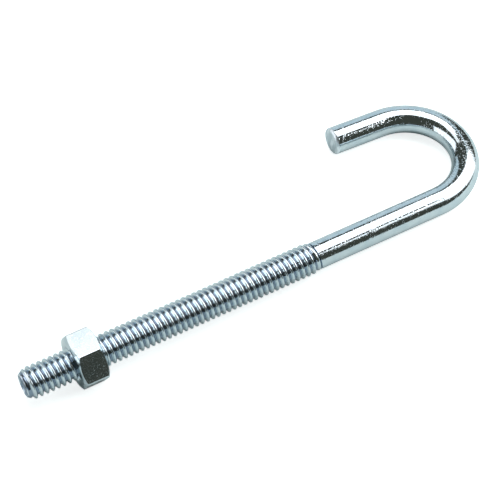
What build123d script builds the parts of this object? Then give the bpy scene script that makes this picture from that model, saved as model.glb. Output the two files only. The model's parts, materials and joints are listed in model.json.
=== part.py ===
from build123d import *
from math import atan2, ceil, cos, degrees, radians, sin, sqrt, tan
import os

# J bolt (hook bolt) with one hex nut, zinc-plated steel, 5/16 in - 18 UNC.
# Both pieces are built about the thread's axis: +X runs from the threaded tip to the hook,
# the hook lies in the XY plane and turns towards +Y. The last step lays the bolt down as
# it rests on a table. Millimetres and degrees.

# ---- driving dimensions -------------------------------------------------------------
INCH = 25.4

THREAD_PITCH = INCH / 18
THREAD_MAJOR_DIAMETER = 7.72
THREAD_DEPTH = 0.65  # crest and root are sharp lines; keeps the pitch diameter
THREAD_LENGTH = 76.6  # tip to the last trace of thread
THREAD_FIRST_CREST = 0.24  # tip to the first crest straight above the axis
THREAD_RUNOUT = 2.1  # the crests and grooves fade out over this last stretch
TIP_DIAMETER = 5.5  # the flat left on the end by its chamfer
TIP_CHAMFER_ANGLE = 40  # from the axis

SHANK_DIAMETER = 6.82  # rolled thread: the blank lies between root and crest
SHANK_LENGTH = 109.7  # tip to the start of the bend
HOOK_INSIDE_WIDTH = 21.7
HOOK_BEND_ANGLE = 177
HOOK_LEG_LENGTH = 13.6
LEG_END_CHAMFER = 0.3  # breaks the sheared end's edge

NUT_ACROSS_FLATS = 12.45
NUT_THICKNESS = 6.6
NUT_FACE_DIAMETER = 11.75  # circle that the chamfers leave on each end face
NUT_CHAMFER_ANGLE = 30  # from the end face
NUT_BORE_CLEARANCE = 0.05  # radial, over the bolt's crests
NUT_COUNTERSINK = 0.4
NUT_FROM_TIP = 12.3  # tip of the bolt to the nut's outer face

# ---- sizes that follow --------------------------------------------------------------
major_radius = THREAD_MAJOR_DIAMETER / 2
root_radius = major_radius - THREAD_DEPTH
tip_radius = TIP_DIAMETER / 2
shank_radius = SHANK_DIAMETER / 2
bend_radius = HOOK_INSIDE_WIDTH / 2 + shank_radius
bend_axis = Axis((SHANK_LENGTH, bend_radius, 0), (0, 0, 1))
nut_flat_radius = NUT_ACROSS_FLATS / 2
nut_corner_radius = nut_flat_radius / cos(radians(30))
nut_face_radius = NUT_FACE_DIAMETER / 2
nut_bore_radius = major_radius + NUT_BORE_CLEARANCE
nut_inner_face = NUT_FROM_TIP + NUT_THICKNESS


def turned(*outline):
    """Solid of revolution about the thread's axis from (x, radius) points."""
    return revolve(make_face(Polyline(*outline, close=True)), Axis.X)


def helix_turn(radius, start):
    """One right-hand turn about the thread's axis, starting straight above it."""
    turn = Edge.make_helix(
        THREAD_PITCH, THREAD_PITCH, radius, center=(start, 0, 0), normal=(1, 0, 0)
    )
    return turn.edges()[0]


def threaded_rod(start, turns):
    """Screw solid whose two flanks run straight from each crest line to each root line.

    Each turn has its own pair of flank faces. At both ends a helicoid and a step in the
    half plane above the axis close the shell, a pitch outside the length that is kept.
    """
    half, pitch = THREAD_PITCH / 2, THREAD_PITCH
    faces = []
    for turn in range(turns):
        x = start + turn * pitch
        root = helix_turn(root_radius, x + half)
        faces.append(Face.make_surface_from_curves(helix_turn(major_radius, x), root))
        faces.append(Face.make_surface_from_curves(root, helix_turn(major_radius, x + pitch)))
    for x in (start, start + turns * pitch):
        axis_line = Edge.make_line((x, 0, 0), (x + pitch, 0, 0))
        step = Wire.make_polygon(
            [
                (x, 0, 0),
                (x, 0, major_radius),
                (x + half, 0, root_radius),
                (x + pitch, 0, major_radius),
                (x + pitch, 0, 0),
            ]
        )
        faces.append(Face.make_surface_from_curves(axis_line, helix_turn(major_radius, x)))
        faces.append(Face(step))
    return Solid(Shell(faces))


def thread_envelope():
    """Chamfered tip, a free length over the crests, and the crests' fade into the shank."""
    outside = major_radius + THREAD_DEPTH / 4
    chamfer_end = (outside - tip_radius) / tan(radians(90 - TIP_CHAMFER_ANGLE))
    fade_slope = THREAD_RUNOUT / (major_radius - shank_radius)
    fade_start = THREAD_LENGTH - fade_slope * (outside - shank_radius)
    return turned(
        (0, 0),
        (0, tip_radius),
        (chamfer_end, outside),
        (fade_start, outside),
        (THREAD_LENGTH, shank_radius),
        (THREAD_LENGTH, 0),
    )


def plain_shank():
    """Plain shank, with the cone that fills the grooves of the last turns."""
    fill_start = THREAD_LENGTH - 2 * THREAD_RUNOUT
    return turned(
        (fill_start, 0),
        (fill_start, 2 * root_radius - shank_radius),
        (THREAD_LENGTH, shank_radius),
        (SHANK_LENGTH, shank_radius),
        (SHANK_LENGTH, 0),
    )


def hook():
    """Bend and short leg, with the edge of the sheared end broken."""
    section = Plane.YZ.offset(SHANK_LENGTH) * Circle(shank_radius)
    bend = revolve(section, bend_axis, HOOK_BEND_ANGLE)
    leg_section = section.rotate(bend_axis, HOOK_BEND_ANGLE)
    along = Vector(1, 0, 0).rotate(Axis.Z, HOOK_BEND_ANGLE)
    leg = extrude(leg_section, HOOK_LEG_LENGTH, dir=along)
    end_edge = leg.edges().filter_by(GeomType.CIRCLE).sort_by(Axis((0, 0, 0), along))[-1]
    return bend + chamfer(end_edge, LEG_END_CHAMFER)


def j_bolt():
    """The bolt as one piece: thread, plain shank, bend and leg."""
    turns = ceil(THREAD_LENGTH / THREAD_PITCH) + 3
    thread = threaded_rod(THREAD_FIRST_CREST - 2 * THREAD_PITCH, turns) & thread_envelope()
    return thread + plain_shank() + hook()


def hex_nut():
    """Nut chamfered on both faces, its bore clear of the crests at every turn."""
    blank = Plane.YZ.offset(NUT_FROM_TIP) * RegularPolygon(
        nut_flat_radius, 6, major_radius=False
    )
    rise = (nut_corner_radius - nut_face_radius) * tan(radians(NUT_CHAMFER_ANGLE))
    chamfers = turned(
        (NUT_FROM_TIP, 0),
        (NUT_FROM_TIP, nut_face_radius),
        (NUT_FROM_TIP + rise, nut_corner_radius),
        (nut_inner_face - rise, nut_corner_radius),
        (nut_inner_face, nut_face_radius),
        (nut_inner_face, 0),
    )
    bore = turned(
        (NUT_FROM_TIP, 0),
        (NUT_FROM_TIP, nut_bore_radius + NUT_COUNTERSINK),
        (NUT_FROM_TIP + NUT_COUNTERSINK, nut_bore_radius),
        (nut_inner_face - NUT_COUNTERSINK, nut_bore_radius),
        (nut_inner_face, nut_bore_radius + NUT_COUNTERSINK),
        (nut_inner_face, 0),
    )
    return (extrude(blank, NUT_THICKNESS) & chamfers) - bore


def table_normal(contact_angle):
    """Upward normal of a table that touches the nut's flat and the bend.

    The bend touches it under the point of its centreline at contact_angle, which is
    measured about the centre of the bend from +X.
    """
    towards_x, towards_y = cos(radians(contact_angle)), sin(radians(contact_angle))
    flat_end = nut_inner_face - (nut_flat_radius - nut_face_radius) * tan(
        radians(NUT_CHAMFER_ANGLE)
    )
    reach = bend_radius * (1 + towards_y) + (SHANK_LENGTH - flat_end) * towards_x
    slope = 0
    for _ in range(4):
        nut_height = nut_flat_radius * sqrt(1 - (slope * towards_x) ** 2)
        slope = (nut_height - shank_radius) / reach
    return Vector(-slope * towards_x, -slope * towards_y, sqrt(1 - slope**2))


def resting_normal(centre):
    """Normal of the table on which the centre of mass lies lowest."""

    def height(contact_angle):
        outwards = Vector(cos(radians(contact_angle)), sin(radians(contact_angle)))
        touching = bend_axis.position + outwards * bend_radius
        return (centre - touching).dot(table_normal(contact_angle))

    half_degrees = range(-120, 121)
    return table_normal(min((step / 2 for step in half_degrees), key=height))


bolt, nut = j_bolt(), hex_nut()
mass_centre = (bolt.center() * bolt.volume + nut.center() * nut.volume) / (
    bolt.volume + nut.volume
)
up = resting_normal(mass_centre)
nut = nut.rotate(Axis.X, -degrees(atan2(up.Y, up.Z)))  # a flat face down on the table

# The row's frame: +Z up from the table, +X under the thread's axis, origin centred below.
laid_down = Plane((0, 0, 0), x_dir=Vector(1, 0, 0) - up * up.X, z_dir=up).location.inverse()
box = Compound([laid_down * bolt, laid_down * nut]).bounding_box()
placing = Pos(-box.center().X, -box.center().Y, -box.min.Z) * laid_down

os.makedirs("parts", exist_ok=True)
for name, piece in {"j_bolt": placing * bolt, "hex_nut": placing * nut}.items():
    piece.label = name
    export_step(piece, f"parts/{name}.step")
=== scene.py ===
"""J bolt with a hex nut in bright zinc plate: its detailed pieces, finishes, studio and camera."""

import json
import logging
from dataclasses import dataclass
from enum import Enum
from math import atan2, cos, hypot, pi, radians, sin, sqrt, tan

import bmesh
import bpy
from mathutils import Matrix, Vector

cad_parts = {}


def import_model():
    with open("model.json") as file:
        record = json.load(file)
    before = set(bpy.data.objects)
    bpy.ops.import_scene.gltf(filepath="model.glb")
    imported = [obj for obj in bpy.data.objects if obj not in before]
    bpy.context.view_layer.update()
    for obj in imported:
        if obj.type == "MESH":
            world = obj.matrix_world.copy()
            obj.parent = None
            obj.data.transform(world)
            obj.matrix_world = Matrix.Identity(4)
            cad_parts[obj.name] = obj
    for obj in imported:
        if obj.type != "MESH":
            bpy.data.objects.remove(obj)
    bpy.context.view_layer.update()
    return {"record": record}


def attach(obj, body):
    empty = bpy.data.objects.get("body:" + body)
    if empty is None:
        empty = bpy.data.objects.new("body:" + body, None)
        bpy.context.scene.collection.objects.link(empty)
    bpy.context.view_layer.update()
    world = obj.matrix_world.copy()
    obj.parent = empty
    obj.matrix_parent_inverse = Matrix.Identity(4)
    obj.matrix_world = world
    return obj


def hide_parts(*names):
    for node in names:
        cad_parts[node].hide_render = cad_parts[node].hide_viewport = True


logging.basicConfig(level=logging.INFO, format="%(name)s: %(message)s")
log = logging.getLogger("j_bolt")

Mesh = bmesh.types.BMesh
Vert = bmesh.types.BMVert
Edge = bmesh.types.BMEdge
Socket = bpy.types.NodeSocket
Pair = tuple[float, float]
Place = tuple[float, float, float]
Colour = tuple[float, float, float]

FULL_TURN = 2 * pi
SIDES = 6  # of the nut
HALF_SIDE = pi / SIDES  # half the angle that one of them takes up
MILLIMETRE = 0.001
INCH = 25.4  # in millimetres
SPARE = 0.5  # millimetres of thread past each end, which are cut off again
ROD_PLACE = "rod_place"  # the attribute that holds coordinates along the rod
FALLING = (1.0, 0.0)  # a ramp's values when it goes down
BUMP_STEP = 1e-5  # metres; the unit in which bump heights are handed on
NEARLY_LEVEL = 0.01  # the least rise of a direction that the ceiling is worked out for


# ---- small helpers ------------------------------------------------------------------
def angle_of(point: Vector) -> float:
    """Angle of a point about +X, from straight up towards -Y, from 0 to a full turn."""
    return atan2(-point.y, point.z) % FULL_TURN


def radius_of(vert: Vert) -> float:
    """Distance of a vertex from the X axis."""
    return hypot(vert.co.y, vert.co.z)


def set_radius(vert: Vert, radius: float) -> None:
    """Moves a vertex straight out from the X axis, or in.

    Args:
        vert: the vertex.
        radius: how far from the axis it ends up.
    """
    old = radius_of(vert)
    vert.co.y *= radius / old
    vert.co.z *= radius / old


def smooth_step(value: float) -> float:
    """0 below 0, 1 above 1 and an S-shaped curve between."""
    value = min(max(value, 0.0), 1.0)
    return value * value * (3 - 2 * value)


def of_kind(items: list, kind: type) -> list:
    """The parts of an operator's result that are of one kind, such as edges."""
    return [item for item in items if isinstance(item, kind)]


def ends_of(edges: list[Edge]) -> list[Vert]:
    """The vertices of the edges, each once."""
    return list(dict.fromkeys(vert for edge in edges for vert in edge.verts))


def loop_at(mesh: Mesh, station: float) -> list[Edge]:
    """The open edges that lie at a station along the axis.

    Args:
        mesh: the mesh to look through.
        station: where along the axis, in millimetres.

    Returns:
        The boundary edges of that loop.
    """
    tolerance = 0.01
    return [
        edge
        for edge in mesh.edges
        if edge.is_boundary and all(abs(vert.co.x - station) < tolerance for vert in edge.verts)
    ]


def cut_off(mesh: Mesh, station: float, way: int) -> list[Vert | Edge]:
    """Cuts away what lies past a station along the axis.

    Args:
        mesh: the mesh to cut.
        station: where to cut, in millimetres.
        way: 1 to cut away what lies towards +X, -1 for the other side.

    Returns:
        The vertices and edges of the cut.
    """
    return bmesh.ops.bisect_plane(
        mesh,
        geom=[*mesh.verts, *mesh.edges, *mesh.faces],
        dist=0.0001,
        plane_co=(station, 0, 0),
        plane_no=(way, 0, 0),
        clear_outer=True,
    )["geom_cut"]


def grow(mesh: Mesh, edges: list[Edge]) -> tuple[list[Edge], list[Vert]]:
    """Adds a ring to an open end, still in the same place as the last one.

    Args:
        mesh: the mesh that the ring is in.
        edges: the ring to go on from.

    Returns:
        The new ring's edges and its vertices.
    """
    grown = bmesh.ops.extrude_edge_only(mesh, edges=edges)["geom"]
    return of_kind(grown, Edge), of_kind(grown, Vert)


def run(mesh: Mesh, edges: list[Edge], move: Vector, steps: int) -> list[Edge]:
    """Carries a ring straight on.

    Args:
        mesh: the mesh that the ring is in.
        edges: the ring.
        move: the whole way to go.
        steps: how many rings it takes.

    Returns:
        The last ring.
    """
    for _ in range(steps):
        edges, verts = grow(mesh, edges)
        bmesh.ops.translate(mesh, verts=verts, vec=move / steps)
    return edges


def take_in(mesh: Mesh, other: Mesh) -> None:
    """Adds a copy of another mesh to a mesh.

    Args:
        mesh: the mesh that grows.
        other: the mesh that is copied.
    """
    data = bpy.data.meshes.new("copy")
    other.to_mesh(data)
    mesh.from_mesh(data)
    bpy.data.meshes.remove(data)


def join_rings(mesh: Mesh, edges: list[Edge]) -> None:
    """Closes the gap between two rings round the X axis, one inside the other.

    Args:
        mesh: the mesh that the rings are in.
        edges: the edges of both rings, which may differ in number.
    """
    radii = {vert: radius_of(vert) for vert in ends_of(edges)}
    middle = (min(radii.values()) + max(radii.values())) / 2
    inner, outer = (
        sorted((v for v in radii if (radii[v] > middle) == far), key=lambda v: angle_of(v.co))
        for far in (False, True)
    )

    def angle(ring: list[Vert], index: int) -> float:
        """Angle of a ring's vertex, counted on past a full turn."""
        laps, place = divmod(index, len(ring))
        return angle_of(ring[place].co) + laps * FULL_TURN

    at_inner = at_outer = 0
    while at_inner < len(inner) or at_outer < len(outer):
        corners = [inner[at_inner % len(inner)], outer[at_outer % len(outer)]]
        step_inner = at_inner < len(inner) and (
            at_outer == len(outer) or angle(inner, at_inner + 1) <= angle(outer, at_outer + 1)
        )
        if step_inner:
            at_inner += 1
            corners.append(inner[at_inner % len(inner)])
        else:
            at_outer += 1
            corners.append(outer[at_outer % len(outer)])
        mesh.faces.new(corners)


@dataclass(frozen=True)
class Lie:
    """Where the pieces lie: the turn and shift from the bolt's own axes to the row's frame."""

    matrix: Matrix

    @classmethod
    def from_record(cls, record: dict) -> "Lie":
        """Reads the lie from the record's mounts.

        Args:
            record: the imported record; its threaded end is the bolt's origin, and the axes of
                the threaded end and of the short leg span the plane of the hook.

        Returns:
            The lie, which also turns millimetres into metres.
        """
        mounts = {mount["name"]: mount for mount in record["mounts"]}
        along = -Vector(mounts["threaded_end"]["axis"]).normalized()
        leg = Vector(mounts["short_leg"]["axis"]).normalized()
        normal = along.cross(leg).normalized()
        across = normal.cross(along)
        turn = Matrix((along, across, normal)).transposed().to_4x4()
        place = Matrix.Translation(Vector(mounts["threaded_end"]["pos_m"]))
        return cls(place @ turn @ Matrix.Scale(MILLIMETRE, 4))

    @property
    def roll(self) -> float:
        """Turn about the axis, in radians, that brings the bolt's +Z straight up."""
        up = self.matrix.to_3x3().normalized().transposed() @ Vector((0, 0, 1))
        return atan2(up.y, up.z)

    def finish(self, mesh: Mesh, name: str, sharp_angle: float) -> bpy.types.Object:
        """Puts a mesh where it lies and makes a piece of it.

        Args:
            mesh: the piece in the bolt's own axes, in millimetres; it is freed.
            name: the new piece's name.
            sharp_angle: edges over this angle, in degrees, stay crisp.

        Returns:
            The piece, at the origin, with its place in its mesh.
        """
        bmesh.ops.recalc_face_normals(mesh, faces=mesh.faces)
        bmesh.ops.transform(mesh, matrix=self.matrix, verts=mesh.verts)
        data = bpy.data.meshes.new(name)
        mesh.to_mesh(data)
        mesh.free()
        data.polygons.foreach_set("use_smooth", [True] * len(data.polygons))
        data.set_sharp_from_angle(angle=radians(sharp_angle))
        piece = bpy.data.objects.new(name, data)
        bpy.context.scene.collection.objects.link(piece)
        return piece


# ---- the bolt -----------------------------------------------------------------------
@dataclass(frozen=True)
class UnifiedThread:
    """A 60-degree screw thread: 5/16 in - 18 UNC, right-hand. Millimetres."""

    pitch: float = INCH / 18
    major_radius: float = 3.86
    crest_rounding: float = 0.3
    root_rounding: float = 0.16
    steps_per_turn: int = 60
    crest_at: float = 1.44  # station of one crest on the side that faces up and outwards
    crest_side: float = 35.2  # degrees from straight up where that crest is

    @property
    def depth(self) -> float:
        """Crest to root: the sharp 60-degree ridge less what both arcs take off it."""
        return self.pitch * sin(pi / 3) - self.crest_rounding - self.root_rounding

    @property
    def root_radius(self) -> float:
        """Radius at the bottom of the groove."""
        return self.major_radius - self.depth

    @property
    def phase(self) -> float:
        """Station of a crest straight above the axis."""
        return self.crest_at - self.pitch * self.crest_side / 360

    def profile(self) -> list[Pair]:
        """One pitch of the thread, crest to crest, with rounded crest and root.

        Returns:
            Stations from the crest's middle, with the radius at each.
        """
        half, arc, hollow = self.pitch / 2, self.crest_rounding, self.root_rounding
        slopes = [radians(slope) for slope in (0, 15, 30, 45, 60)]
        crest = [(arc * sin(a), self.major_radius - arc * (1 - cos(a))) for a in slopes]
        root = [
            (half - hollow * sin(a), self.root_radius + hollow * (1 - cos(a))) for a in slopes[::2]
        ]
        out = [*crest, *reversed(root)]
        return out + [(self.pitch - x, r) for x, r in reversed(out[:-1])]

    def surface(self, first: float, last: float, offset: float = 0.0) -> Mesh:
        """The thread's surface over a length, with at least a turn to spare at both ends.

        Args:
            first: station where the length starts.
            last: station where it ends.
            offset: added to every radius, for the nut's running clearance.

        Returns:
            A tube with open ends.
        """
        turn = bmesh.new()
        turns_before = int((self.phase - first) / self.pitch) + 2
        start = self.phase - turns_before * self.pitch
        turns = int((last - start) / self.pitch) + 3
        verts = [turn.verts.new((start + x, 0, r + offset)) for x, r in self.profile()]
        chain = [turn.edges.new(pair) for pair in zip(verts, verts[1:])]
        bmesh.ops.spin(
            turn,
            geom=verts + chain,
            cent=(0, 0, 0),
            axis=(1, 0, 0),
            dvec=(self.pitch / self.steps_per_turn, 0, 0),
            angle=FULL_TURN,
            steps=self.steps_per_turn,
        )
        mesh = bmesh.new()
        for _ in range(turns):
            take_in(mesh, turn)
            bmesh.ops.translate(turn, verts=turn.verts, vec=(self.pitch, 0, 0))
        turn.free()
        bmesh.ops.remove_doubles(mesh, verts=mesh.verts, dist=0.002)
        return mesh

    def turns_at(self, point: Vector) -> float:
        """How far along the thread a point is.

        Args:
            point: a point on or near the thread.

        Returns:
            Its distance in turns along its own crest, counted from the phase.
        """
        share = angle_of(point) / FULL_TURN
        whole = round((point.x - self.phase) / self.pitch - share)
        return whole + share


@dataclass(frozen=True)
class BoltRod:
    """The bolt: chamfered tip, rolled thread, plain shank, bend and sheared leg. Millimetres."""

    thread: UnifiedThread = UnifiedThread()
    thread_end: float = 76.6
    crest_fade: float = 2.1  # length over which the crests sink into the shank
    groove_start: float = 0.75  # turns before the thread's end where its groove begins to fill
    groove_fade: float = 0.45  # turns over which it fills
    tip_radius: float = 2.8
    tip_at: float = 0.013  # station of the tip, just enough for it to stay in the CAD box
    tip_chamfer: float = 35.0  # degrees from the axis
    tip_dish: tuple[Pair, ...] = (  # rings, by share of the tip's radius and depth
        (0.95, 0.0),
        (0.9, 0.05),
        (0.84, 0.3),
        (0.72, 0.45),
        (0.3, 0.5),
    )
    radius: float = 3.403
    faded: float = 0.6  # how much of the thread's tube is kept past the thread's end
    joint: float = 0.4  # from there to the plain shank's first ring
    sides: int = 72
    shank_end: float = 109.7
    shank_steps: int = 8
    inside_width: float = 21.7
    bend_angle: float = 177.0
    bend_steps: int = 118
    leg_length: float = 13.6
    leg_steps: int = 4
    end_rings: tuple[Pair, ...] = (  # by how far behind the cut face, and in from the side
        (0.45, 0.0),
        (0.38, 0.01),
        (0.31, 0.045),
        (0.07, 0.27),
        (0.02, 0.34),
        (0.0, 0.43),
        (-0.005, 0.52),
        (0.01, 1.2),
        (0.04, 2.2),
        (0.03, 3.0),
    )
    bevel_width: float = 1.0  # rings nearer to the side than this belong to the bevel
    bevel_size: Pair = (0.35, 1.7)  # its scale at its low back and at its upper front
    end_recess: float = 0.27  # how far the upper front of the cut face lies back
    end_front: Place = (0.0, -0.58, 0.81)

    @property
    def bend_radius(self) -> float:
        """Radius of the bend's centreline."""
        return self.inside_width / 2 + self.radius

    @property
    def join(self) -> float:
        """Station where the thread's tube is cut off, to be joined to the plain shank."""
        return self.thread_end + self.faded

    @property
    def end_length(self) -> float:
        """Length of the leg that its bevel and the lean of its cut take up."""
        return self.end_recess + self.end_rings[0][0] * self.bevel_size[1]

    def shape_thread(self, mesh: Mesh) -> None:
        """Chamfers the first turn and lets crests and groove fade into the shank.

        Args:
            mesh: the thread's open tube; its vertices are moved.
        """
        rise = tan(radians(self.tip_chamfer))
        root = self.thread.root_radius
        last_turn = (self.thread_end - self.thread.phase) / self.thread.pitch - self.groove_start
        crest_turns = self.crest_fade / self.thread.pitch
        for vert in mesh.verts:
            over = radius_of(vert) - self.radius
            past = self.thread.turns_at(vert.co) - last_turn
            faded = past / crest_turns + 1 if over > 0 else past / self.groove_fade
            radius = self.radius + over * (1 - smooth_step(faded))
            chamfered = self.tip_radius + max(vert.co.x, -SPARE) * rise
            height = min(max((chamfered - root) / self.thread.depth, 0.0), 1.0)
            set_radius(vert, min(chamfered, root + (radius - root) * height))

    def close_tip(self, mesh: Mesh) -> None:
        """Cuts the tip square and closes its face with the dish that rolling leaves.

        Args:
            mesh: the chamfered thread; what lies before the tip is cut off.
        """
        rim = of_kind(cut_off(mesh, self.tip_at, -1), Edge)
        for share, depth in self.tip_dish:
            rim, verts = grow(mesh, rim)
            for vert in verts:
                set_radius(vert, self.tip_radius * share)
                vert.co.x = self.tip_at + depth
        bmesh.ops.contextual_create(mesh, geom=rim)

    def add_shank(self, mesh: Mesh) -> None:
        """Joins the plain shank, the bend, the leg and its end to the thread.

        Args:
            mesh: the bolt so far; what lies past the join is cut off.
        """
        cut_off(mesh, self.join, 1)
        thread_loop = loop_at(mesh, self.join)
        start = self.join + self.joint
        ring = bmesh.ops.create_circle(
            mesh,
            segments=self.sides,
            radius=self.radius,
            matrix=Matrix.Translation((start, 0, 0)) @ Matrix.Rotation(pi / 2, 4, "Y"),
        )["verts"]
        edges = list(dict.fromkeys(edge for vert in ring for edge in vert.link_edges))
        bmesh.ops.bridge_loops(mesh, edges=thread_loop + edges)
        edges = run(mesh, edges, Vector((self.shank_end - start, 0, 0)), self.shank_steps)
        edges = self.bend(mesh, edges)
        way = Vector((1, 0, 0))
        way.rotate(Matrix.Rotation(radians(self.bend_angle), 3, "Z"))
        edges = run(mesh, edges, way * (self.leg_length - self.end_length), self.leg_steps)
        self.close_leg(mesh, edges, way)

    def bend(self, mesh: Mesh, edges: list[Edge]) -> list[Edge]:
        """Spins a ring round the bend.

        Args:
            mesh: the mesh that the ring is in.
            edges: the ring where the bend starts.

        Returns:
            The ring where it ends.
        """
        spun = bmesh.ops.spin(
            mesh,
            geom=ends_of(edges) + edges,
            cent=(self.shank_end, self.bend_radius, 0),
            axis=(0, 0, 1),
            angle=radians(self.bend_angle),
            steps=self.bend_steps,
        )["geom_last"]
        return of_kind(spun, Edge)

    def close_leg(self, mesh: Mesh, edges: list[Edge], way: Vector) -> None:
        """Bevels the leg's end and closes its sheared face, which isn't quite square.

        Args:
            mesh: the bolt so far.
            edges: the ring where the end starts.
            way: the leg's direction.
        """
        ring = ends_of(edges)
        centre = sum((vert.co for vert in ring), Vector()) / len(ring)
        front = Vector(self.end_front).normalized()
        low, high = self.bevel_size
        for behind, inwards in self.end_rings:
            edges, verts = grow(mesh, edges)
            for vert in verts:
                out = vert.co - centre
                out = (out - way * out.dot(way)).normalized()
                share = (1 + out.dot(front)) / 2
                size = low + (high - low) * share if inwards < self.bevel_width else 1.0
                ahead = self.end_length - behind * size - self.end_recess * share
                vert.co = centre + out * (self.radius - inwards * size) + way * ahead
        bmesh.ops.contextual_create(mesh, geom=edges)

    def unbent(self, point: Vector) -> Vector:
        """Where a point was before the rod was bent, for patterns that follow the rod.

        Args:
            point: a point of the bolt, in its own axes.

        Returns:
            The point with its station measured along the rod.
        """
        if point.x <= self.shank_end and point.y < self.bend_radius:
            return point.copy()
        centre = Vector((self.shank_end, self.bend_radius, 0))
        out = point - centre
        angle = atan2(out.x, -out.y) % FULL_TURN
        bend = radians(self.bend_angle)
        if angle <= bend:
            station = self.shank_end + self.bend_radius * angle
            return Vector((station, self.bend_radius - hypot(out.x, out.y), point.z))
        way = Vector((cos(bend), sin(bend), 0))
        inwards = Vector((-way.y, way.x, 0))
        station = self.shank_end + self.bend_radius * bend + out.dot(way)
        return Vector((station, self.bend_radius + out.dot(inwards), point.z))

    def build(self, lie: Lie) -> bpy.types.Object:
        """Makes the bolt's piece.

        Args:
            lie: where it lies.

        Returns:
            The finished mesh object.
        """
        mesh = self.thread.surface(-SPARE, self.join + SPARE)
        self.shape_thread(mesh)
        self.close_tip(mesh)
        self.add_shank(mesh)
        place = mesh.verts.layers.float_vector.new(ROD_PLACE)
        for vert in mesh.verts:
            vert[place] = self.unbent(vert.co)
        return lie.finish(mesh, "bolt_rod", sharp_angle=40)


# ---- the nut ------------------------------------------------------------------------
class NutZone(Enum):
    """The surfaces of a nut's outside."""

    FACE = "face"
    CHAMFER = "chamfer"
    SIDE = "side"


@dataclass(frozen=True)
class HexNut:
    """A hex nut chamfered on both faces, with its own thread. Millimetres."""

    thread: UnifiedThread = UnifiedThread()
    outer_face: float = 12.3
    thickness: float = 6.6
    across_flats: float = 12.45
    face_radius: float = 5.875
    chamfer: float = 30.0  # degrees from the face
    corner_rounding: float = 0.35
    countersink_radius: float = 4.31
    countersink_rim: float = 0.06  # width of the ring that joins the countersink to its face
    running_clearance: float = 0.04
    crest_cut: float = 0.28  # how far outside the bolt's roots its own crests end
    face_shares: tuple[float, ...] = (0.0, 0.5, 1.0)  # where the rings of a face lie
    chamfer_rows: int = 4
    side_rows: int = 8
    columns: int = 192
    crowding: float = 0.8  # how far the columns draw together at the corners, from 0 to 1

    @property
    def inner_face(self) -> float:
        """Station of the face towards the hook."""
        return self.outer_face + self.thickness

    def side_radius(self, angle: float) -> float:
        """Distance of the side from the axis.

        Args:
            angle: about the axis, from straight up, in radians; a flat faces up.

        Returns:
            The distance, with the corners rounded.
        """
        off = (angle + HALF_SIDE) % (2 * HALF_SIDE) - HALF_SIDE
        flat, rounding = self.across_flats / 2, self.corner_rounding
        if abs(off) <= atan2((flat - rounding) * tan(HALF_SIDE), flat):
            return flat / cos(off)
        middle = (flat - rounding) / cos(HALF_SIDE)
        corner = HALF_SIDE - abs(off)
        return middle * cos(corner) + sqrt(rounding**2 - (middle * sin(corner)) ** 2)

    def outline(self, zone: NutZone, share: float, side: float) -> Pair:
        """One place of the outside.

        Args:
            zone: the surface that it is on.
            share: how far over that surface it is, from 0 to 1.
            side: the side's distance from the axis at its angle.

        Returns:
            Its radius, and how deep below the face it lies.
        """
        drop = (side - self.face_radius) * tan(radians(self.chamfer))
        if zone is NutZone.FACE:
            start = self.countersink_radius + self.countersink_rim
            return start + share * (self.face_radius - start), 0.0
        if zone is NutZone.CHAMFER:
            return self.face_radius + share * (side - self.face_radius), share * drop
        return side, drop + share * (self.thickness - 2 * drop)

    def shell(self, roll: float) -> Mesh:
        """The nut's outside: both faces, their chamfers and the six sides.

        Args:
            roll: how far the nut is turned back about its axis, so that a flat lies level.

        Returns:
            A closed ring of faces, open where the bore is.
        """
        steps = range(1, self.chamfer_rows + 1)
        end = [(NutZone.FACE, share) for share in self.face_shares]
        end += [(NutZone.CHAMFER, step / self.chamfer_rows) for step in steps]
        sides = [(NutZone.SIDE, step / self.side_rows) for step in range(1, self.side_rows)]
        plan = [*end, *sides, *reversed(end)]
        mesh = bmesh.new()
        verts = [mesh.verts.new((index, 0, 1)) for index in range(len(plan))]
        chain = [mesh.edges.new(pair) for pair in zip(verts, verts[1:])]
        bmesh.ops.spin(
            mesh,
            geom=verts + chain,
            cent=(0, 0, 0),
            axis=(1, 0, 0),
            angle=FULL_TURN,
            steps=self.columns,
            use_merge=True,
        )
        for vert in mesh.verts:
            row = round(vert.co.x)
            angle = angle_of(vert.co)
            angle += self.crowding / SIDES * sin(SIDES * angle)
            radius, depth = self.outline(*plan[row], self.side_radius(angle))
            from_inner = row >= len(end) + len(sides)
            x = self.inner_face - depth if from_inner else self.outer_face + depth
            vert.co = (x, -radius * sin(angle - roll), radius * cos(angle - roll))
        return mesh

    def bore(self) -> Mesh:
        """The nut's thread between its faces.

        Returns:
            A tube, countersunk at both ends and open there.
        """
        mesh = self.thread.surface(
            self.outer_face - SPARE, self.inner_face + SPARE, self.running_clearance
        )
        minor = self.thread.root_radius + self.crest_cut
        for vert in mesh.verts:
            inside = min(vert.co.x - self.outer_face, self.inner_face - vert.co.x)
            cone = self.countersink_radius - max(inside, 0.0)
            set_radius(vert, max(radius_of(vert), minor, cone))
        for station, way in ((self.outer_face, -1), (self.inner_face, 1)):
            for vert in of_kind(cut_off(mesh, station, way), Vert):
                set_radius(vert, self.countersink_radius)
        return mesh

    def build(self, lie: Lie) -> bpy.types.Object:
        """Makes the nut's piece.

        Args:
            lie: where it lies.

        Returns:
            The finished mesh object.
        """
        mesh, inside = self.shell(lie.roll), self.bore()
        take_in(mesh, inside)
        inside.free()
        for station in (self.outer_face, self.inner_face):
            bmesh.ops.remove_doubles(mesh, verts=ends_of(loop_at(mesh, station)), dist=0.005)
            join_rings(mesh, loop_at(mesh, station))
        bmesh.ops.remove_doubles(mesh, verts=mesh.verts, dist=0.001)
        return lie.finish(mesh, "nut_body", sharp_angle=35)


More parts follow.
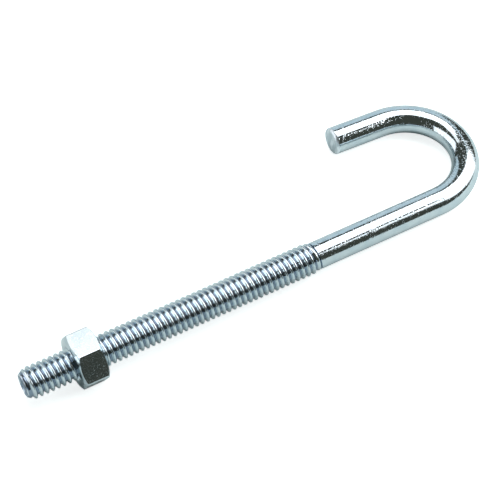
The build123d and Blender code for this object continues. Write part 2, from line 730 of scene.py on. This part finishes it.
# ---- finishes -----------------------------------------------------------------------
class NodeBench:
    """Adds shader nodes to a tree and wires them."""

    def __init__(self, tree: bpy.types.NodeTree) -> None:
        """Starts on a tree.

        Args:
            tree: the material's or the world's node tree.
        """
        self.tree = tree

    def feed(self, node: bpy.types.Node, inputs: dict) -> None:
        """Sets a node's inputs.

        Args:
            node: the node.
            inputs: values or sockets for its inputs, by name or number.
        """
        for name, value in inputs.items():
            socket = node.inputs[name]
            if isinstance(value, Socket):
                self.tree.links.new(value, socket)
            else:
                socket.default_value = (*value, 1) if socket.type == "RGBA" else value

    def add(self, kind: str, inputs: dict | None = None, **settings) -> bpy.types.Node:
        """Adds a node.

        Args:
            kind: its type, without the leading ShaderNode.
            inputs: values or sockets for its inputs, by name or number.
            **settings: the node's own properties.

        Returns:
            The node.
        """
        node = self.tree.nodes.new("ShaderNode" + kind)
        for name, value in settings.items():
            setattr(node, name, value)
        self.feed(node, inputs or {})
        return node

    def math(self, operation: str, *values: float | Socket) -> Socket:
        """One step of arithmetic.

        Args:
            operation: the Math node's operation.
            *values: its inputs.

        Returns:
            The result.
        """
        return self.add("Math", dict(enumerate(values)), operation=operation).outputs[0]

    def chain(self, operation: str, first: Socket, *others: float | Socket) -> Socket:
        """One operation carried on through several values, such as their product.

        Args:
            operation: the Math node's operation.
            first: the first value.
            *others: the values that follow.

        Returns:
            The result.
        """
        for other in others:
            first = self.math(operation, first, other)
        return first

    def parts(self, vector: Socket) -> list[Socket]:
        """The three parts of a vector."""
        return list(self.add("SeparateXYZ", {0: vector}).outputs)

    def scaled(self, vector: Socket | Place, factor: float | Socket, **settings) -> Socket:
        """A vector or a colour times a factor; settings may label the node."""
        inputs = {0: vector, "Scale": factor}
        return self.add("VectorMath", inputs, operation="SCALE", **settings).outputs[0]

    def brighter(self, colour: Socket | Colour, other: Socket) -> Socket:
        """The brighter of two colours, channel by channel."""
        return self.add("VectorMath", {0: colour, 1: other}, operation="MAXIMUM").outputs[0]

    def stretched(self, place: Socket, along: float, across: float, up: float) -> Socket:
        """Coordinates scaled by a factor in each direction."""
        inputs = {"Vector": place, "Scale": (along, across, up)}
        return self.add("Mapping", inputs).outputs[0]

    def noise(self, place: Socket, scale: float, detail: float) -> Socket:
        """Cloudy noise between 0 and 1.

        Args:
            place: the coordinates that it is laid on.
            scale: how many times finer than one unit it is.
            detail: how many octaves it has.

        Returns:
            The noise.
        """
        return self.add("TexNoise", {"Vector": place, "Scale": scale, "Detail": detail}).outputs[0]

    def blend(self, share: Socket, colour: Socket | Colour, other: Colour) -> Socket:
        """Blends a colour into another.

        Args:
            share: 0 for the colour alone, 1 for the other.
            colour: the first colour.
            other: the second colour.

        Returns:
            The blended colour.
        """
        # Of a Mix node's sockets, inputs 6 and 7 and output 2 are for colours.
        return self.add("Mix", {0: share, 6: colour, 7: other}, data_type="RGBA").outputs[2]

    def ramp(self, value: Socket, low: float, high: float, to: Pair = (0.0, 1.0)) -> Socket:
        """Eases a value from one range to another.

        Args:
            value: what is read.
            low: where the ramp starts.
            high: where it ends.
            to: the values at its start and end.

        Returns:
            The eased value.
        """
        inputs = {0: value, 1: low, 2: high, 3: to[0], 4: to[1]}
        return self.add("MapRange", inputs, interpolation_type="SMOOTHSTEP").outputs[0]

    def after(self, value: Socket, edge: float, soft: float) -> Socket:
        """1 past an edge and 0 before it, eased over soft on both sides."""
        return self.ramp(value, edge - soft, edge + soft)

    def before(self, value: Socket, edge: float, soft: float) -> Socket:
        """1 before an edge and 0 past it, eased over soft on both sides."""
        return self.ramp(value, edge - soft, edge + soft, FALLING)


@dataclass(frozen=True)
class BrightZinc:
    """Bright zinc plate over steel, with faint clouds, waves, specks and pits.

    Grains are per millimetre, heights in metres. Edges are the values of a noise between
    which a mark comes up.
    """

    name: str
    light: Colour = (0.68, 0.75, 0.785)
    dark: Colour = (0.6, 0.69, 0.74)
    cloud_grain: float = 0.35
    cloud_edges: Pair = (0.35, 0.65)
    wave_grain: float = 1.2
    wave_height: float = 1e-5
    speck_grain: Pair = (3.2, 1.6)  # along the piece and across it
    speck_edges: Pair = (0.58, 0.74)
    speck_height: float = 1.8e-5
    pit_fineness: float = 2.0  # against the specks
    pit_edges: Pair = (0.5, 0.72)
    roughness: Pair = (0.05, 0.2)  # of the clean plate and of its pits

    def place(self, bench: NodeBench) -> Socket:
        """Coordinates in millimetres that the pattern is laid on."""
        return bench.scaled(bench.add("TexCoord").outputs["Object"], 1 / MILLIMETRE)

    def specked(self, bench: NodeBench, place: Socket) -> Socket:
        """Coordinates that are stretched for the specks and pits."""
        along, across = self.speck_grain
        return bench.stretched(place, along, across, across)

    def colour(self, bench: NodeBench, place: Socket) -> Socket:
        """The plate's colour.

        Args:
            bench: the material's nodes.
            place: the pattern's coordinates.

        Returns:
            The colour, clouded a little.
        """
        clouds = bench.noise(place, self.cloud_grain, detail=3.0)
        return bench.blend(bench.ramp(clouds, *self.cloud_edges, FALLING), self.light, self.dark)

    def rough(self, bench: NodeBench, place: Socket) -> Socket:
        """The plate's roughness.

        Args:
            bench: the material's nodes.
            place: the pattern's coordinates.

        Returns:
            The roughness, higher in the pits.
        """
        pits = bench.noise(self.specked(bench, place), self.pit_fineness, detail=2.0)
        return bench.ramp(pits, *self.pit_edges, self.roughness)

    def height(self, bench: NodeBench, place: Socket) -> Socket:
        """The fine relief of the plate.

        Args:
            bench: the material's nodes.
            place: the pattern's coordinates.

        Returns:
            The height, in metres.
        """
        waves = bench.noise(place, self.wave_grain, detail=4.0)
        specks = bench.noise(self.specked(bench, place), 1.0, detail=2.0)
        return bench.math(
            "ADD",
            bench.math("MULTIPLY", waves, self.wave_height),
            bench.math("MULTIPLY", bench.ramp(specks, *self.speck_edges), self.speck_height),
        )

    def material(self) -> bpy.types.Material:
        """Makes the material.

        Returns:
            The material, under the name it was given.
        """
        material = bpy.data.materials.new(self.name)
        material.use_nodes = True
        bench = NodeBench(material.node_tree)
        place = self.place(bench)
        relief = bench.math("MULTIPLY", self.height(bench, place), 1 / BUMP_STEP)
        bump = bench.add("Bump", {"Height": relief, "Distance": BUMP_STEP, "Strength": 1.0})
        shader = {
            "Base Color": self.colour(bench, place),
            "Roughness": self.rough(bench, place),
            "Metallic": 1.0,
            "Normal": bump.outputs[0],
        }
        bench.feed(material.node_tree.nodes["Principled BSDF"], shader)
        return material


@dataclass(frozen=True)
class RodZinc(BrightZinc):
    """Bright zinc on the bent rod, with the marks that rolling, cutting and bending left, and
    painted shade in the thread's groove.

    Stations are along the rod, in millimetres from its tip.
    """

    # painted shade: the colour that the thread's groove is darkened towards
    groove: Colour = (0.28, 0.35, 0.44)
    groove_shade_radii: Pair = (3.12, 3.45)  # painted shade in full up to the first radius, none from the second
    threaded: Pair = (75.2, 76.6)  # stations over which the thread ends
    cut_stations: Pair = (0.1, 166.85)  # an end is cut before the first and past the second
    cut_edges: Pair = (0.2, 0.15)  # how softly the cut starts at either end
    cut_lean: Pair = (0.077, 0.107)  # the leg's cut leans across and up
    cut_metal: Colour = (0.84, 0.9, 0.95)
    cut_roughness: float = 0.38
    streak_grain: Place = (0.3, 0.75, 0.3)
    streak_edges: Pair = (0.42, 0.56)
    wrinkled: Pair = (116.0, 148.0)  # stations where the bend stretched the plate
    wrinkle_ends: float = 10.0  # length over which the wrinkles come up and go
    wrinkle_side: Pair = (-1.5, 0.5)  # across the rod: wrinkled before the first, plain after
    wrinkle_grain: Place = (2.6, 0.9, 0.9)
    wrinkle_height: float = 3e-5
    scuffs: tuple[Place, ...] = (  # station, across and up
        (90.3, -2.19, 2.61),
        (92.9, -3.01, 1.6),
        (89.6, -2.92, 1.76),
    )
    scuff_radii: Pair = (0.3, 1.5)  # scuffed up to the first, plain from the second
    scuff_grain: float = 2.2
    scuff_height: float = 6e-5

    def place(self, bench: NodeBench) -> Socket:
        """Coordinates along the rod as it was before it was bent, in millimetres."""
        return bench.add("Attribute", attribute_name=ROD_PLACE).outputs["Vector"]

    def cut(self, bench: NodeBench, place: Socket) -> Socket:
        """Where the rod's ends were cut.

        Args:
            bench: the material's nodes.
            place: coordinates along the rod.

        Returns:
            1 on the tip's face and on the leg's cut face, 0 elsewhere.
        """
        station, across, up = bench.parts(place)
        lean = bench.math(
            "ADD",
            bench.math("MULTIPLY", across, self.cut_lean[0]),
            bench.math("MULTIPLY", up, self.cut_lean[1]),
        )
        (first, last), (first_edge, last_edge) = self.cut_stations, self.cut_edges
        tip = bench.ramp(station, first, first + first_edge, FALLING)
        leg = bench.ramp(bench.math("ADD", station, lean), last - last_edge, last)
        return bench.math("MAXIMUM", tip, leg)

    def colour(self, bench: NodeBench, place: Socket) -> Socket:
        """The plate's colour, darkened by painted shade in the thread's groove and streaked on the
        cut ends.

        Args:
            bench: the material's nodes.
            place: coordinates along the rod.

        Returns:
            The colour.
        """
        station, across, up = bench.parts(place)
        flat = bench.add("CombineXYZ", {1: across, 2: up}).outputs[0]
        radius = bench.add("VectorMath", {0: flat}, operation="LENGTH").outputs["Value"]
        # painted shade: deep is 1 near the thread's root and fades out where the thread ends
        deep = bench.math(
            "MULTIPLY",
            bench.ramp(radius, *self.groove_shade_radii, FALLING),
            bench.ramp(station, *self.threaded, FALLING),
        )
        plate = bench.blend(deep, super().colour(bench, place), self.groove)
        streaks = bench.noise(bench.stretched(place, *self.streak_grain), 1.0, detail=3.0)
        streaked = bench.ramp(streaks, *self.streak_edges)
        share = bench.math("MULTIPLY", self.cut(bench, place), streaked)
        return bench.blend(share, plate, self.cut_metal)

    def rough(self, bench: NodeBench, place: Socket) -> Socket:
        """The plate's roughness, higher on the cut ends.

        Args:
            bench: the material's nodes.
            place: coordinates along the rod.

        Returns:
            The roughness.
        """
        cut = bench.math("MULTIPLY", self.cut(bench, place), self.cut_roughness)
        return bench.math("MAXIMUM", super().rough(bench, place), cut)

    def height(self, bench: NodeBench, place: Socket) -> Socket:
        """The fine relief of the plate, with the bend's wrinkles and the scuffs.

        Args:
            bench: the material's nodes.
            place: coordinates along the rod.

        Returns:
            The height, in metres.
        """
        plain = super().height(bench, place)
        return bench.chain("ADD", plain, self.wrinkles(bench, place), self.dings(bench, place))

    def wrinkles(self, bench: NodeBench, place: Socket) -> Socket:
        """Height of the fine wrinkles across the outer side of the bend.

        Args:
            bench: the material's nodes.
            place: coordinates along the rod.

        Returns:
            The height, in metres.
        """
        station, across, _ = bench.parts(place)
        (first, last), ends = self.wrinkled, self.wrinkle_ends
        return bench.chain(
            "MULTIPLY",
            bench.noise(bench.stretched(place, *self.wrinkle_grain), 1.0, detail=3.0),
            bench.ramp(station, first, first + ends),
            bench.ramp(station, last - ends, last, FALLING),
            bench.ramp(across, *self.wrinkle_side, FALLING),
            self.wrinkle_height,
        )

    def dings(self, bench: NodeBench, place: Socket) -> Socket:
        """Height of the few scuffed spots.

        Args:
            bench: the material's nodes.
            place: coordinates along the rod.

        Returns:
            The height, in metres.
        """
        spots = []
        for scuff in self.scuffs:
            away = bench.add("VectorMath", {0: place, 1: scuff}, operation="DISTANCE")
            spots.append(bench.ramp(away.outputs["Value"], *self.scuff_radii, FALLING))
        scuffed = bench.chain("MAXIMUM", *spots)
        rough = bench.noise(place, self.scuff_grain, detail=3.0)
        return bench.chain("MULTIPLY", scuffed, rough, self.scuff_height)


# ---- the studio ---------------------------------------------------------------------
@dataclass(frozen=True)
class Panel:
    """A soft light or a reflector of the studio, by the part of the sky it takes up. Degrees."""

    name: str
    azimuth: Pair  # from +Y towards +X
    elevation: Pair
    colour: Colour
    soft: float = 3.0  # over which its edges fade
    soft_below: float = 3.0  # the same for its lower edge
    low_lean: float = 0.0  # rise of its lower edge, for each degree of azimuth
    top_lean: float = 0.0  # the same for its upper edge
    slant: float = 0.0  # azimuth by which its first side moves, for each degree of elevation

    def light(self, bench: NodeBench, azimuth: Socket, elevation: Socket) -> Socket:
        """The panel's light in each direction.

        Args:
            bench: the world's nodes.
            azimuth: the direction's azimuth, in degrees.
            elevation: the direction's elevation, in degrees.

        Returns:
            A colour, black outside the panel.
        """
        middle = (self.azimuth[0] + self.azimuth[1]) / 2
        half = (self.azimuth[1] - self.azimuth[0]) / 2
        bottom, top = self.elevation
        aside = bench.math("WRAP", bench.math("SUBTRACT", azimuth, middle), 180.0, -180.0)
        inset = bench.math("SUBTRACT", aside, bench.math("MULTIPLY", elevation, self.slant))
        low = bench.math("SUBTRACT", elevation, bench.math("MULTIPLY", aside, self.low_lean))
        high = bench.math("SUBTRACT", elevation, bench.math("MULTIPLY", aside, self.top_lean))
        share = bench.chain(
            "MULTIPLY",
            bench.after(inset, -half, self.soft),
            bench.before(aside, half, self.soft),
            bench.after(low, bottom, self.soft_below),
            bench.before(high, top, self.soft),
        )
        return bench.scaled(self.colour, share, label=self.name)


@dataclass(frozen=True)
class Ceiling:
    """The soft light overhead. Its edges are in ceiling heights from straight above."""

    left: float = -0.22
    right: float = 1.6
    front: float = -0.105
    rear: float = 0.64
    lean: float = -0.68  # how far its front edge comes forward towards the right
    colour: Colour = (2.6, 2.6, 2.6)
    soft_sides: float = 0.03
    soft_ends: float = 0.02

    def light(self, bench: NodeBench, right: Socket, back: Socket, up: Socket) -> Socket:
        """The ceiling's light in each direction.

        Args:
            bench: the world's nodes.
            right: the direction's part along +X.
            back: its part along +Y.
            up: its part along +Z.

        Returns:
            A colour, black outside the ceiling.
        """
        high = bench.math("MAXIMUM", up, NEARLY_LEVEL)
        across = bench.math("DIVIDE", right, high)
        along = bench.math("DIVIDE", back, high)
        leaning = bench.math("SUBTRACT", along, bench.math("MULTIPLY", across, self.lean))
        share = bench.chain(
            "MULTIPLY",
            bench.after(across, self.left, self.soft_sides),
            bench.before(across, self.right, self.soft_sides),
            bench.after(leaning, self.front, self.soft_ends),
            bench.before(along, self.rear, self.soft_ends),
        )
        return bench.scaled(self.colour, share, label="ceiling")


@dataclass(frozen=True)
class Lamp:
    """A small soft lamp, square. Metres and watts."""

    name: str
    place: Place
    aim: Place
    size: float
    power: float

    def add(self) -> None:
        """Adds the lamp."""
        data = bpy.data.lights.new(self.name, "AREA")
        data.size = self.size
        data.energy = self.power
        lamp = bpy.data.objects.new(self.name, data)
        away = Vector(self.place) - Vector(self.aim)
        turn = away.to_track_quat("Z", "Y").to_matrix().to_4x4()
        lamp.matrix_world = Matrix.Translation(Vector(self.place)) @ turn
        bpy.context.scene.collection.objects.link(lamp)


@dataclass(frozen=True)
class Studio:
    """Floor, lights and camera. Metres."""

    camera_place: Place = (-0.123263, -0.263036, 0.37333)
    camera_ahead: Place = (0.262963, 0.555661, -0.788728)
    camera_right: Place = (0.876772, -0.478797, -0.044997)
    view_angle: float = 14.433  # degrees
    view_limits: Pair = (0.01, 20.0)  # the nearest and farthest that the camera sees
    floor_reach: float = 3.0
    floor_colour: Colour = (0.62, 0.705, 0.7)
    floor_roughness: float = 0.95
    floor_shine: float = 0.1
    floor_shown: float = 0.75  # white that the camera sees besides what falls on the floor
    floor_mirrored: float = 0.01  # the same, for what the metal mirrors
    dark_walls: Colour = (0.055, 0.06, 0.05)
    ceiling: Ceiling = Ceiling()
    panels: tuple[Panel, ...] = (
        Panel(
            "right_wall",
            azimuth=(88, 151),
            elevation=(16, 50.5),
            colour=(1.7, 1.7, 1.7),
            soft=2.0,
            soft_below=6.0,
            low_lean=0.6,
            slant=-0.69,
        ),
        Panel(
            "left_window",
            azimuth=(267, 331),
            elevation=(3, 38),
            colour=(1.6, 1.62, 1.65),
            soft=2.0,
        ),
        Panel(
            "back_wall",
            azimuth=(-18, 46),
            elevation=(-10, 30.5),
            colour=(0.66, 0.79, 0.85),
            soft=1.5,
            top_lean=0.6,
        ),
        Panel(
            "front_gap",
            azimuth=(212, 246),
            elevation=(-1, 5),
            colour=(0.5, 0.62, 0.8),
            soft=2.0,
        ),
    )
    lamps: tuple[Lamp, ...] = (
        Lamp(
            "nut_lamp",
            place=(0.018, 0.126, 0.21),
            aim=(-0.048, -0.0127, 0.0126),
            size=0.08,
            power=0.026,
        ),
        Lamp(
            "bend_lamp",
            place=(0.13, -0.05, 0.08),
            aim=(0.08, -0.03, 0.0),
            size=0.06,
            power=0.055,
        ),
    )

    def add_camera(self) -> None:
        """Sets up the camera."""
        data = bpy.data.cameras.new("camera")
        data.lens = data.sensor_width / 2 / tan(radians(self.view_angle) / 2)
        data.clip_start, data.clip_end = self.view_limits
        camera = bpy.data.objects.new("camera", data)
        ahead = Vector(self.camera_ahead).normalized()
        right = Vector(self.camera_right)
        right = (right - ahead * right.dot(ahead)).normalized()
        turn = Matrix((right, right.cross(ahead), -ahead)).transposed().to_4x4()
        camera.matrix_world = Matrix.Translation(Vector(self.camera_place)) @ turn
        bpy.context.scene.collection.objects.link(camera)
        bpy.context.scene.camera = camera

    def add_floor(self) -> None:
        """Adds the pale floor, which the camera sees almost white, with the shadows on it."""
        mesh = bmesh.new()
        bmesh.ops.create_grid(mesh, x_segments=1, y_segments=1, size=self.floor_reach)
        data = bpy.data.meshes.new("floor")
        mesh.to_mesh(data)
        mesh.free()
        floor = bpy.data.objects.new("floor", data)
        bpy.context.scene.collection.objects.link(floor)
        material = bpy.data.materials.new("pale_floor")
        material.use_nodes = True
        bench = NodeBench(material.node_tree)
        path = bench.add("LightPath").outputs
        shown = bench.math("MULTIPLY", path["Is Camera Ray"], self.floor_shown)
        mirrored = bench.math("MULTIPLY", path["Is Glossy Ray"], self.floor_mirrored)
        shader = {
            "Base Color": self.floor_colour,
            "Roughness": self.floor_roughness,
            "Specular IOR Level": self.floor_shine,
            "Emission Color": (1, 1, 1),
            "Emission Strength": bench.math("ADD", shown, mirrored),
        }
        bench.feed(material.node_tree.nodes["Principled BSDF"], shader)
        floor.data.materials.append(material)

    def add_world(self) -> None:
        """Adds the studio's walls, panels and ceiling light as the world."""
        world = bpy.data.worlds.new("studio")
        bpy.context.scene.world = world
        world.use_nodes = True
        bench = NodeBench(world.node_tree)
        right, back, up = bench.parts(bench.add("TexCoord").outputs["Generated"])
        azimuth = bench.math("DEGREES", bench.math("ARCTAN2", right, back))
        elevation = bench.math("DEGREES", bench.math("ARCSINE", up))
        lights = [panel.light(bench, azimuth, elevation) for panel in self.panels]
        lights.append(self.ceiling.light(bench, right, back, up))
        lights.append(bench.add("LightPath").outputs["Is Camera Ray"])
        total = self.dark_walls
        for light in lights:
            total = bench.brighter(total, light)
        bench.feed(world.node_tree.nodes["Background"], {"Color": total, "Strength": 1.0})


def main() -> None:
    """Builds the pieces, their finishes, the studio and the camera in order."""
    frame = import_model()
    bpy.context.scene.view_settings.view_transform = "Standard"
    lie = Lie.from_record(frame["record"])

    rod = BoltRod().build(lie)
    rod.data.materials.append(RodZinc("zinc_plated_rod").material())
    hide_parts("j_bolt")
    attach(rod, "bolt")
    log.info("bolt: %d faces", len(rod.data.polygons))

    nut = HexNut().build(lie)
    smoother = BrightZinc("zinc_plated_nut", wave_height=5e-6, speck_height=5.5e-6)
    nut.data.materials.append(smoother.material())
    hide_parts("hex_nut")
    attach(nut, "nut")
    log.info("nut: %d faces", len(nut.data.polygons))

    studio = Studio()
    studio.add_camera()
    studio.add_floor()
    studio.add_world()
    for lamp in studio.lamps:
        lamp.add()


if __name__ == "__main__":
    main()
